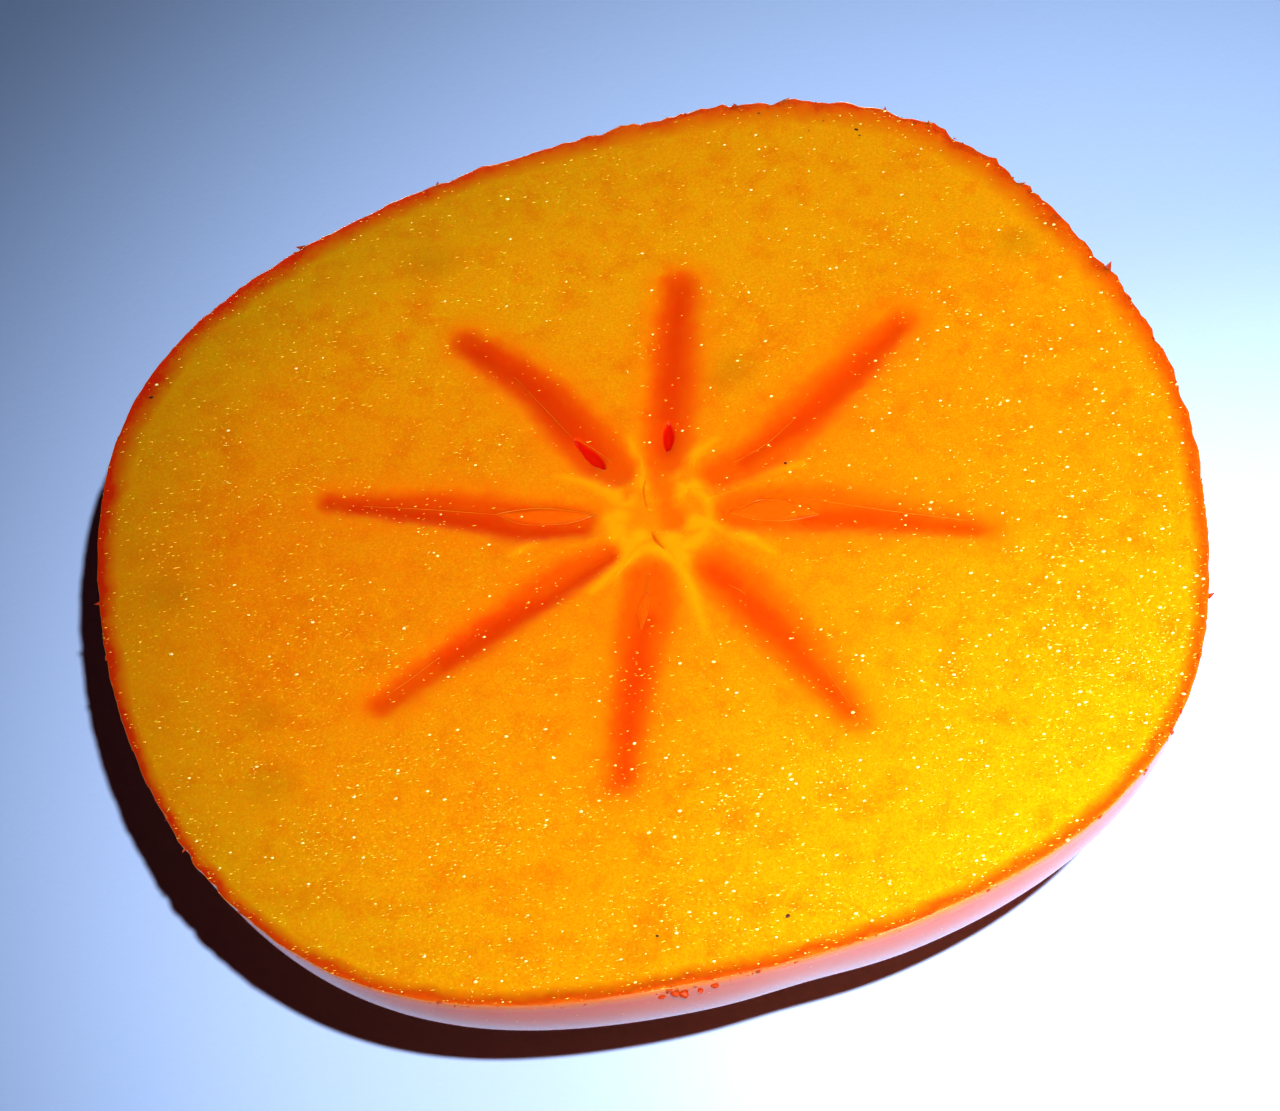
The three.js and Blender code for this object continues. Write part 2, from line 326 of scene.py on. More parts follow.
star = {
    "jelly": {"softness": 1.0, "depth": 0.22, "paths": [
        [(5.0, 75.9, 1.25), (7.7, 77.2, 1.6), (13.5, 78.0, 1.6), (20.9, 78.6, 1.15)],
        [(5.4, 32.6, 1.2), (9.1, 28.6, 1.7), (15.5, 33.0, 1.65), (23.4, 35.8, 1.0)],
        [(5.4, -6.8, 1.5), (9.3, -7.3, 1.95), (15.0, -11.5, 1.6), (22.3, -14.4, 0.9)],
        [(5.9, -58.5, 1.35), (9.1, -58.3, 1.8), (14.5, -59.7, 1.7), (21.6, -61.3, 1.05)],
        [(5.2, -105.6, 1.45), (7.7, -103.6, 1.75), (13.5, -104.4, 1.4), (21.6, -103.9, 1.0)],
        [(4.7, -148.6, 0.8), (7.5, -152.0, 1.15), (13.5, -150.1, 1.25), (23.1, -149.7, 0.8)],
        [(5.1, 172.4, 1.1), (9.2, 169.6, 1.65), (14.5, 165.2, 1.3), (22.8, 164.6, 0.65)],
        [(5.2, 115.8, 1.3), (7.9, 118.4, 1.75), (14.0, 117.7, 1.6), (21.6, 121.2, 0.9)]]},
    "spine": {"softness": 0.6, "depth": 0.06, "paths": [
        [(6.0, 76.5, 0.5), (8.6, 77.8, 0.7), (12.0, 78.3, 0.7), (20.5, 78.6, 0.35)],
        [(7.5, 30.0, 0.4), (13.0, 31.0, 0.75), (18.0, 33.5, 0.8), (22.8, 35.5, 0.5)],
        [(10.0, -12.0, 0.6), (15.0, -12.6, 0.85), (21.5, -14.6, 0.4)],
        [(6.0, -59.5, 0.5), (12.0, -59.5, 0.75), (21.0, -61.2, 0.45)],
        [(8.5, -103.8, 0.45), (14.0, -104.4, 0.65), (21.2, -103.9, 0.4)],
        [(4.6, -143.0, 0.35), (9.6, -146.6, 0.5), (13.0, -150.0, 0.65), (18.0, -150.0, 0.45)],
        [(5.3, -179.5, 0.3), (9.2, 174.4, 0.55), (12.6, 169.0, 0.6), (21.1, 165.4, 0.3)],
        [(7.0, 119.5, 0.6), (12.5, 118.0, 0.8), (16.0, 118.5, 0.65), (20.4, 121.0, 0.35)]]},
    "lens": {"softness": 0.2, "depth": -0.08, "paths": [
        [(5.0, 165.5, 0.2), (7.5, 167.0, 0.6), (9.6, 166.8, 0.35), (11.0, 166.0, 0.08)],
        [(5.2, -7.2, 0.25), (7.6, -6.2, 0.85), (9.3, -8.4, 0.5), (10.8, -10.4, 0.08)],
        [(6.5, -104.6, 0.1), (7.9, -104.8, 0.3), (9.3, -104.4, 0.08)]]},
    "septum": {"softness": 0.45, "depth": -0.02, "paths": [
        [(2.8, 168.7, 0.75), (4.6, 175.9, 0.55), (7.6, -179.0, 0.4), (10.1, -173.8, 0.15)],
        [(2.8, 47.0, 0.8), (4.5, 29.6, 0.5), (7.5, 19.0, 0.5), (10.6, 13.1, 0.15)],
        [(3.4, 75.0, 0.6), (4.9, 62.6, 0.6), (5.8, 58.4, 0.45), (7.6, 51.0, 0.15)],
        [(3.0, 100.0, 0.6), (4.3, 99.3, 0.55), (5.4, 100.0, 0.4), (7.3, 98.1, 0.12)],
        [(2.8, 136.0, 0.7), (4.2, 136.2, 0.5), (5.7, 137.2, 0.35), (8.1, 142.0, 0.12)],
        [(2.1, -133.6, 0.7), (3.3, -135.2, 0.7), (5.2, -131.8, 0.5), (7.4, -133.8, 0.2)],
        [(2.3, -74.6, 0.8), (4.7, -75.2, 0.65), (6.3, -77.7, 0.45), (10.6, -80.1, 0.15)],
        [(2.6, -25.0, 0.8), (4.4, -21.0, 0.65), (6.5, -28.0, 0.4), (8.5, -33.0, 0.15)],
        [(5.0, -131.0, 0.35), (3.4, -125.0, 0.45), (2.7, -115.0, 0.45), (3.1, -91.0, 0.5),
         (4.5, -80.7, 0.4)],
        [(3.3, -150.0, 0.7), (3.1, 175.0, 0.7)],
        [(3.2, -75.0, 0.55), (3.4, -45.0, 0.5), (3.6, -15.0, 0.4), (3.5, 15.0, 0.25),
         (3.1, 45.0, 0.35)]]},
    "heart": {"softness": 1.0, "depth": 0.0, "paths": [
        [(2.4, 160.0, 1.5), (1.1, -120.0, 1.4), (1.5, -10.0, 0.9)]]},
    "pulp": {"softness": 0.5, "depth": 0.1, "paths": [
        [(3.4, 84.3, 0.8), (2.5, 76.0, 0.9), (1.7, 66.0, 0.7)],
        [(1.7, 66.0, 0.5), (0.8, 40.0, 0.7), (0.9, -10.0, 0.9), (1.2, -35.0, 0.8)],
        [(3.1, 127.0, 0.35), (2.9, 133.0, 0.2)]]},
    "crack": {"softness": 0.1, "depth": 0.08, "paths": [
        [(3.3, 99.0, 0.02), (2.7, 105.0, 0.05), (2.0, 112.0, 0.03), (1.2, 125.0, 0.02)],
        [(1.4, -115.0, 0.03), (2.0, -103.0, 0.1), (2.8, -89.4, 0.05)]]},
    "bruise": {"softness": 1.0, "depth": 0.0, "paths": [
        [(29.3, 115.2, 1.3), (29.9, 116.4, 1.3)], [(29.8, -157.6, 1.0), (30.3, -158.6, 1.0)],
        [(32.4, -148.6, 1.2), (32.9, -149.0, 1.2)], [(33.5, 179.5, 1.4), (34.1, 179.4, 1.4)],
        [(33.7, 34.2, 1.2), (34.2, 34.0, 1.2)], [(13.2, 60.2, 1.3), (13.8, 60.2, 1.3)],
        [(33.8, -99.4, 1.1), (34.4, -99.8, 1.1)]]},
    "slit": {"softness": 0.14, "depth": 0.4, "paths": [
        [(6.0, 76.7, 0.06), (6.5, 76.9, 0.26), (7.1, 77.2, 0.33), (7.8, 77.6, 0.26),
         (8.4, 77.9, 0.06)],
        [(6.1, 120.8, 0.1), (6.7, 120.7, 0.34), (7.4, 120.7, 0.38), (8.4, 120.6, 0.24),
         (9.4, 120.5, 0.05)]]},
}

# Thin walls of the closed chambers and the lips of the open ones, with their half thickness.
chamberWalls = [
    [(4.3, 164.5, 0.01), (6.2, 162.3, 0.028), (8.1, 161.9, 0.042), (9.8, 163.7, 0.035),
     (11.2, 166.0, 0.021)],
    [(4.3, 164.5, 0.01), (5.8, 171.0, 0.014), (7.3, 172.0, 0.021), (9.4, 170.5, 0.014),
     (11.2, 166.0, 0.021)],
    [(11.2, 166.0, 0.021), (16.1, 164.9, 0.028), (20.5, 164.8, 0.01)],
    [(4.9, -7.5, 0.01), (6.0, -1.0, 0.021), (7.3, 0.6, 0.028), (9.0, -5.0, 0.021),
     (10.8, -10.4, 0.014)],
    [(4.9, -7.5, 0.01), (6.6, -13.0, 0.021), (8.6, -13.4, 0.021), (10.8, -10.4, 0.014)],
    [(9.4, -1.5, 0.01), (10.6, -3.6, 0.021), (15.4, -9.6, 0.035), (20.9, -12.7, 0.014)],
    [(6.4, -104.5, 0.014), (8.0, -107.0, 0.021), (9.3, -104.4, 0.01)],
    [(6.4, -104.5, 0.014), (7.8, -102.6, 0.021), (9.3, -104.4, 0.01)],
    [(4.5, -107.3, 0.014), (6.3, -104.5, 0.035)],
    [(7.6, -59.4, 0.021), (8.4, -57.8, 0.042), (9.0, -57.4, 0.014)],
    [(17.5, -58.4, 0.01), (21.2, -60.6, 0.021)],
    [(18.0, -151.6, 0.01), (20.0, -151.0, 0.028), (22.5, -150.6, 0.014)],
    [(6.7, 33.5, 0.01), (9.5, 31.4, 0.028), (12.4, 33.0, 0.014)],
    [(9.7, 120.7, 0.021), (12.5, 120.0, 0.028), (16.9, 119.4, 0.01)],
    [(6.0, 115.0, 0.014), (6.8, 115.6, 0.028), (7.8, 117.0, 0.028), (8.8, 118.8, 0.014)],
]


def curveThrough(stops, perSpan=14):  # a smooth curve through the stops
    stops = np.array(stops, float)
    ends = np.vstack([2 * stops[0] - stops[1], stops, 2 * stops[-1] - stops[-2]])
    points = []
    for a, b, c, d in zip(ends, ends[1:], ends[2:], ends[3:]):
        for t in np.linspace(0, 1, perSpan, endpoint=False):
            points.append((2 * b + (c - a) * t + (2 * a - 5 * b + 4 * c - d) * t ** 2
                           + (3 * b - a - 3 * c + d) * t ** 3) / 2)
    return np.array(points + [stops[-1]])


def pathsPiece(name, paths):
    points, edges, widths = [], [], []
    for path in paths:
        stops = [(starCentre.x + r * math.cos(math.radians(turn)),
                  starCentre.y + r * math.sin(math.radians(turn)), width) for r, turn, width in path]
        for i, (x, y, width) in enumerate(curveThrough(stops)):
            if i > 0:
                edges.append((len(points) - 1, len(points)))
            points.append((x, y, fruit["height"]))
            widths.append(max(0.02, width))
    return meshPiece(name, points, edges, halfWidth=widths)


# Shaders. A mask is a smooth step between two values of something stored on the mesh.
def mask(tree, label, low, high, shift=0.0):
    value = add(tree, "ShaderNodeAttribute", output="Fac", attribute_name=label)
    value = add(tree, "ShaderNodeMath", {0: value, 1: shift}, operation="ADD")
    return add(tree, "ShaderNodeMapRange", {"Value": value, "From Min": low, "From Max": high},
               interpolation_type="SMOOTHSTEP")


def newMaterial(name):
    material = bpy.data.materials.new(name)
    material.use_nodes = True
    material.node_tree.nodes.clear()
    return material, material.node_tree


def layColours(tree, colour, layers):  # each layer covers the colour below it by its own share
    for share, shade in layers:
        colour = add(tree, "ShaderNodeMix", {
            "Factor": share, "A": colour, "B": shade}, data_type="RGBA")
    return colour


def finishMaterial(tree, settings, bump=None):
    if bump:
        height, distance, strength = bump
        settings["Normal"] = add(tree, "ShaderNodeBump", {
            "Height": height, "Distance": distance * mm, "Strength": strength})
    surface = add(tree, "ShaderNodeBsdfPrincipled", settings)
    add(tree, "ShaderNodeOutputMaterial", {"Surface": surface})


flesh = {
    "inner": "#e49405",  # across the middle
    "outer": "#e2a506",
    "deep": "#dc7203",  # softer, redder spots
    "pale": "#f6c024",  # cells that hold more juice
    "olive": "#b8a00a",  # duller towards the skin on the far side
    "band": "#b04406",  # under the skin
    "redBand": "#c83a08",
    "tornBand": "#d8700a",  # under the skin, where the knife came out
    "lip": "#dc7c14",  # the cut edge of the skin itself
    "redLip": "#cc3a0a",
    "tornLip": "#c05008",
    "halo": "#e88a04",  # round the jelly
    "heart": "#e89206",  # the middle of the core
    "jelly": "#f07f03",
    # painted shade of the jelly, on the side away from the lamp
    "farJelly": "#da5803",
    "spine": "#e25a02",
    # painted shade of the spine, on the side away from the lamp
    "farSpine": "#d84603",
    "lens": "#ee7806",
    "septum": "#eeae0c",
    "pulp": "#e67c04",
    "crack": "#cc4a04",
    "bruise": "#b47c06",
    "slit": "#dc2202",
    "grain": 0.16,  # sizes in millimetres: of the cut cells,
    "spots": 2.4,  # of the softer spots,
    "clouds": 9,  # and of the broad changes of colour
    "zone": (10, 33),  # from the middle: where the inner shade ends and the outer one is whole
    "zoneDrift": 14,  # how far the clouds shift that
    "oliveWidth": 10,
    "shadeTurn": 12,  # how far either side of the middle the jelly goes from its painted shade, away from the lamp, to its lit colour
}


# Ripe persimmon flesh: wet and half clear, so light spreads below the cut and softens the star.
def fleshMaterial():
    material, tree = newMaterial("persimmon_flesh")
    place = add(tree, "ShaderNodeTexCoord", output="Object")
    centre = (starCentre.x * mm, starCentre.y * mm, 0)
    away = add(tree, "ShaderNodeVectorMath", {0: place, 1: centre}, operation="SUBTRACT")
    broad = add(tree, "ShaderNodeTexNoise", {
        "Vector": place, "Scale": 1 / (flesh["clouds"] * mm), "Detail": 3, "Roughness": 0.6})
    spots = add(tree, "ShaderNodeTexNoise", {
        "Vector": place, "Scale": 1 / (flesh["spots"] * mm), "Detail": 4, "Roughness": 0.6})
    grain = add(tree, "ShaderNodeTexNoise", {
        "Vector": place, "Scale": 1 / (flesh["grain"] * mm), "Detail": 3, "Roughness": 0.7})
    layers = []  # of colour: how much of each shade lies over the ones before it

    # The flesh turns from its inner to its outer shade on both sides of the middle, and sooner on
    # the far side.
    farSide = add(tree, "ShaderNodeSeparateXYZ", {"Vector": away}, output="Y")
    across = add(tree, "ShaderNodeMath", {0: farSide}, operation="ABSOLUTE")
    across = add(tree, "ShaderNodeMath", {0: farSide, 1: 0.15, 2: across}, operation="MULTIPLY_ADD")
    zone = add(tree, "ShaderNodeMath", {
        0: broad, 1: flesh["zoneDrift"] * mm, 2: across}, operation="MULTIPLY_ADD")
    zone = add(tree, "ShaderNodeMapRange", {
        "Value": zone, "From Min": flesh["zone"][0] * mm, "From Max": flesh["zone"][1] * mm})
    layers.append((zone, linear(flesh["outer"])))
    for label, noise, low, high, share in (
            ("deep", spots, 0.48, 0.7, 0.45), ("deep", grain, 0.5, 0.75, 0.5),
            ("pale", grain, 0.5, 0.25, 0.5)):
        mottled = add(tree, "ShaderNodeMapRange", {
            "Value": noise, "From Min": low, "From Max": high, "To Max": share})
        layers.append((mottled, linear(flesh[label])))
    halo = mask(tree, "jelly", -2.6, 0.6)
    halo = add(tree, "ShaderNodeMath", {0: halo, 1: 0.8}, operation="MULTIPLY")
    layers.append((halo, linear(flesh["halo"])))

    # The jelly and its spine are painted darker and redder on the side away from the lamp: painted shade.
    # Where each shape of the star ends is broken up a little.
    wander = add(tree, "ShaderNodeMath", {0: spots, 1: 0.5}, operation="SUBTRACT")
    # This mask is 1 on the side towards the lamp and 0 on the side away from it, where the jelly and
    # spine take their painted shade.
    litSide = add(tree, "ShaderNodeVectorMath", {0: away, 1: (0.45, -0.3, 0)}, output="Value",
               operation="DOT_PRODUCT")
    litSide = add(tree, "ShaderNodeMapRange", {
        "Value": litSide, "From Min": -flesh["shadeTurn"] * mm, "From Max": flesh["shadeTurn"] * mm})
    for label, low, high, share in (
            ("bruise", -1.4, 1.6, 0.3), ("heart", -1.2, 1.2, 0.8), ("septum", -0.5, 0.5, 0.75),
            ("jelly", -0.8, 0.6, 1.0), ("spine", -0.8, 0.6, 0.85), ("lens", -0.1, 0.2, 0.8),
            ("pulp", -0.5, 0.6, 0.95), ("crack", -0.12, 0.1, 0.55), ("slit", -0.1, 0.02, 1.0)):
        inside = mask(tree, label, low, high, wander if high > 0.3 else 0.0)
        inside = add(tree, "ShaderNodeMath", {0: inside, 1: share}, operation="MULTIPLY")
        shade = linear(flesh[label])
        if label in ("jelly", "spine"):
            shade = add(tree, "ShaderNodeMix", {
                "Factor": litSide, "A": linear(flesh["far" + label.title()]), "B": shade},
                data_type="RGBA")
        layers.append((inside, shade))

    # Towards the skin: a duller shade, then the ragged dark band, then the skin's own cut edge.
    gap, width, torn, red = (
        add(tree, "ShaderNodeAttribute", output="Fac", attribute_name=label)
        for label in ("rimGap", "band", "ragged", "redness"))
    olive = add(tree, "ShaderNodeMapRange", {
        "Value": gap, "From Min": flesh["oliveWidth"], "From Max": 0.5})
    olive = add(tree, "ShaderNodeMath", {0: olive, 1: red}, operation="MULTIPLY")
    olive = add(tree, "ShaderNodeMath", {0: olive, 1: 0.4}, operation="MULTIPLY")
    layers.append((olive, linear(flesh["olive"])))
    rough = add(tree, "ShaderNodeMath", {0: grain, 1: 0.5}, operation="SUBTRACT")
    rough = add(tree, "ShaderNodeMath", {0: rough, 1: 1.2, 2: wander}, operation="MULTIPLY_ADD")
    rough = add(tree, "ShaderNodeMath", {0: wander, 1: 2, 2: rough}, operation="MULTIPLY_ADD")
    rough = add(tree, "ShaderNodeMath", {0: rough, 1: width}, operation="MULTIPLY")
    rough = add(tree, "ShaderNodeMath", {0: rough, 1: 0.4, 2: gap}, operation="MULTIPLY_ADD")
    band = add(tree, "ShaderNodeMath", {0: rough, 1: width}, operation="DIVIDE")
    band = add(tree, "ShaderNodeMapRange", {"Value": band, "From Min": 1.1, "From Max": 0.2})
    edge = add(tree, "ShaderNodeMapRange", {
        "Value": rough, "From Min": 0.5, "From Max": 0.05, "To Max": 0.85})
    for factor, label, changes in (
            (band, "band", ((red, "redBand"), (torn, "tornBand"))),
            (edge, "lip", ((torn, "tornLip"), (red, "redLip")))):
        shade = linear(flesh[label])
        for share, change in changes:
            shade = add(tree, "ShaderNodeMix", {
                "Factor": share, "A": shade, "B": linear(flesh[change])}, data_type="RGBA")
        layers.append((factor, shade))

    finishMaterial(tree, {
        "Base Color": layColours(tree, linear(flesh["inner"]), layers),
        "Roughness": 0.33, "Specular IOR Level": 0.3,
        "Subsurface Weight": 1.0, "Subsurface Radius": (1, 0.13, 0.04), "Subsurface Scale": 2.6 * mm},
        bump=(grain, 0.05, 0.25))
    return material


skin = {
    "orange": "#ea440c",
    "red": "#e22f07",
    "nearCut": "#e8841c",  # light shines through from the cut
    "dot": "#f08a46",
    "dried": "#3c2413",
    "shine": "#fff294",  # tint of what the skin mirrors
    "dotSpacing": 1.2,
    "dotRadius": 0.09,
    "mottle": 11,  # size of the red and orange patches
    "waves": 1.6,  # length of the wax's fine waves
    "glow": (0.3, 1.3),  # below the cut: how far the light from the cut is whole, and how far it ends
}


# Waxy persimmon skin: a clear, glossy film over mottled orange, so that it mirrors a bright table.
def skinMaterial():
    material, tree = newMaterial("persimmon_skin")
    place = add(tree, "ShaderNodeTexCoord", output="Object")
    broad = add(tree, "ShaderNodeTexNoise", {
        "Vector": place, "Scale": 1 / (skin["mottle"] * mm), "Detail": 4, "Roughness": 0.6})
    mottled = add(tree, "ShaderNodeMapRange", {"Value": broad, "From Min": 0.35, "From Max": 0.65})
    level = add(tree, "ShaderNodeSeparateXYZ", {"Vector": place}, output="Z")
    nearCut = add(tree, "ShaderNodeMapRange", {
        "Value": level, "From Min": (fruit["height"] - skin["glow"][1]) * mm,
        "From Max": (fruit["height"] - skin["glow"][0]) * mm, "To Max": 0.85})
    dots = add(tree, "ShaderNodeTexVoronoi", {
        "Vector": place, "Scale": 1 / (skin["dotSpacing"] * mm)}, output="Distance")
    size = skin["dotRadius"] / skin["dotSpacing"]
    dots = add(tree, "ShaderNodeMapRange", {
        "Value": dots, "From Min": size * 1.5, "From Max": size * 0.5, "To Max": 0.6})
    dried = mask(tree, "dried", 0.15, 0.7)
    colour = layColours(tree, linear(skin["red"]), [
        (mottled, linear(skin["orange"])), (nearCut, linear(skin["nearCut"])),
        (dots, linear(skin["dot"])), (dried, linear(skin["dried"]))])
    fine = add(tree, "ShaderNodeTexNoise", {
        "Vector": place, "Scale": 1 / (skin["waves"] * mm), "Detail": 3, "Roughness": 0.5})
    coat = add(tree, "ShaderNodeMapRange", {"Value": dried, "To Min": 0.25, "To Max": 0})
    finishMaterial(tree, {
        "Base Color": colour, "Roughness": 0.24, "IOR": 2.25, "Specular Tint": linear(skin["shine"]),
        "Subsurface Weight": 0.6, "Subsurface Radius": (1, 0.08, 0.02), "Subsurface Scale": 3 * mm,
        "Coat Weight": coat, "Coat Roughness": 0.14, "Coat IOR": 1.2},
        bump=(fine, 0.04, 0.5))
    return material


# Juice in cut cells: clear and very glossy. Its pale yellow is partly painted highlight, so the cells
# read as glints, and it is paler still where it stands as a drop.
def juiceGlintMaterial(name, colour):
    material, tree = newMaterial(name)
    finishMaterial(tree, {
        "Base Color": linear(colour), "Roughness": 0.22, "Specular IOR Level": 1.0})
    return material


# Chamber walls are thin and dry, so they look paler than the jelly.
def wallMaterial():
    material, tree = newMaterial("chamber_wall")
    finishMaterial(tree, {
        "Base Color": linear("#f0801c"), "Roughness": 0.3, "Specular IOR Level": 0.4,
        "Subsurface Weight": 0.5, "Subsurface Radius": (1, 0.3, 0.1), "Subsurface Scale": 0.5 * mm})
    return material


# Tannin dries to dark brown grains in the flesh.
def tanninMaterial():
    material, tree = newMaterial("dried_tannin")
    finishMaterial(tree, {"Base Color": linear("#4a2508"), "Roughness": 0.6})
    return material


# Torn skin has lost its wax, so it is dull.
def tornMaterial():
    material, tree = newMaterial("torn_skin")
    finishMaterial(tree, {
        "Base Color": linear("#bb4a0c"), "Roughness": 0.5, "Specular IOR Level": 0.3,
        "Subsurface Weight": 0.5, "Subsurface Radius": (1, 0.2, 0.05), "Subsurface Scale": 0.5 * mm})
    return material


materials = {
    "flesh": fleshMaterial(), "skin": skinMaterial(), "wall": wallMaterial(),
    "cells": juiceGlintMaterial("persimmon_juice", "#ffd850"),
    "drops": juiceGlintMaterial("juice_drops", "#ffe898"),
    "tannin": tanninMaterial(), "torn": tornMaterial()}
print(len(materials), "materials")

# The fruit half itself.
outline, section = outlinePiece(), sectionPiece()
fruitHalf = meshPiece("fruit_half", [])
useTree(fruitHalf, fruitTree(), {
    "Outline": outline, "Section": section, "Steps": steps, "Rows": len(section.data.vertices),
    "Axis": (axis[0] * mm, axis[1] * mm, 0), "Height": fruit["height"] * mm,
    "Seam Depth": fruit["seams"]["depth"] * mm,
    "Tear Depth": fruit["tear"]["depth"] * mm, "Tears": 1 / (fruit["tear"]["length"] * mm),
    "Ripple Depth": fruit["ripple"]["depth"] * mm, "Ripples": 1 / (fruit["ripple"]["length"] * mm),
    "Skin": materials["skin"], "Flesh": materials["flesh"]})
stamp = stampTree()
pathPieces = []
for label, shape in star.items():
    pathPieces.append(pathsPiece(label + "_paths", shape["paths"]))
    useTree(fruitHalf, stamp, {
        "Paths": pathPieces[-1], "Name": label, "Level": fruit["height"] * mm,
        "Softness": shape["softness"], "Depth": shape["depth"] * mm})
settle(fruitHalf)
fruitHalf.data.set_sharp_from_angle(angle=math.radians(50))  # the open chambers have crisp lips


# Thin ridges along paths, laid on the cut face.
def wallTree():
    tree, given = newTree("chamberWalls", {
        "Paths": "Object", "Fruit": "Object", "Above": "Float", "Sides": "Int", "Material": "Material"})
    paths = add(tree, "GeometryNodeObjectInfo", {"Object": given["Paths"]}, output="Geometry")
    body = add(tree, "GeometryNodeObjectInfo", {"Object": given["Fruit"]}, output="Geometry")
    place = add(tree, "GeometryNodeInputPosition")
    above = add(tree, "ShaderNodeCombineXYZ", {"Z": given["Above"]})
    start = add(tree, "ShaderNodeVectorMath", {0: place, 1: above}, operation="ADD")
    drop = add(tree, "GeometryNodeRaycast", {
        "Target Geometry": body, "Source Position": start, "Ray Direction": (0, 0, -1)},
        output="Hit Position")
    laid = add(tree, "GeometryNodeSetPosition", {"Geometry": paths, "Position": drop})
    width = add(tree, "GeometryNodeInputNamedAttribute", {"Name": "halfWidth"}, data_type="FLOAT")
    width = add(tree, "ShaderNodeMath", {0: width, 1: mm}, operation="MULTIPLY")
    curve = add(tree, "GeometryNodeMeshToCurve", {"Mesh": laid})
    ring = add(tree, "GeometryNodeCurvePrimitiveCircle", {"Resolution": given["Sides"], "Radius": 1})
    wall = add(tree, "GeometryNodeCurveToMesh", {
        "Curve": curve, "Profile Curve": ring, "Scale": width, "Fill Caps": True})
    wall = add(tree, "GeometryNodeSetShadeSmooth", {"Geometry": wall})
    endTree(tree, wall, (given["Material"], True))
    return tree


walls = meshPiece("chamber_walls", [])
pathPieces.append(pathsPiece("wall_paths", chamberWalls))
useTree(walls, wallTree(), {
    "Paths": pathPieces[-1], "Fruit": fruitHalf, "Above": 2 * mm, "Sides": 6,
    "Material": materials["wall"]})
settle(walls)


def keepBelow(tree, geometry, top):  # the knife left nothing standing above its path
    place = add(tree, "GeometryNodeInputPosition")
    parts = add(tree, "ShaderNodeSeparateXYZ", {"Vector": place}).node.outputs
    level = add(tree, "ShaderNodeMath", {0: parts["Z"], 1: top}, operation="MINIMUM")
    spot = add(tree, "ShaderNodeCombineXYZ", {"X": parts["X"], "Y": parts["Y"], "Z": level})
    geometry = add(tree, "GeometryNodeRealizeInstances", {"Geometry": geometry})
    return add(tree, "GeometryNodeSetPosition", {"Geometry": geometry, "Position": spot})


# The knife dragged the cut cells over towards the near side. Most are small and long, and a few
# hold a larger drop. Each sort lies closer together on the side that its dense vector points to, towards
# the lamp, so that their pale colour gathers there as painted highlight.
wetCells = {
    "lean": (0, -0.62, 1),
    "sorts": [
        {"name": "wet_cells", "mostPerSquareMm": 2.3, "smallest": 0.024, "largest": 0.055,
         "spread": 0.4, "shape": (3.8, 0.8, 0.5), "dense": (-0.2, -0.5, 0), "seed": 4,
         "juice": "cells"},
        {"name": "wet_drops", "mostPerSquareMm": 0.55, "smallest": 0.035, "largest": 0.15,
         "spread": 0.3, "shape": (1.2, 0.9, 0.4), "dense": (0.8, -0.85, 0), "seed": 9,
         "juice": "drops"}],
    "spot": (27.7, -20.4),  # from the star's centre, where the cells crowd into a pool of painted highlight
    "glintPoolReach": (2, 7),  # how far round it the cells are densest, and how far that ends
    "side": (-25, 28),  # from the star's centre, where each sort has the fewest and the most
    "star": (6, 26),  # from its centre, where the cells are fewest and where they are all there
    "clumps": 5,
}
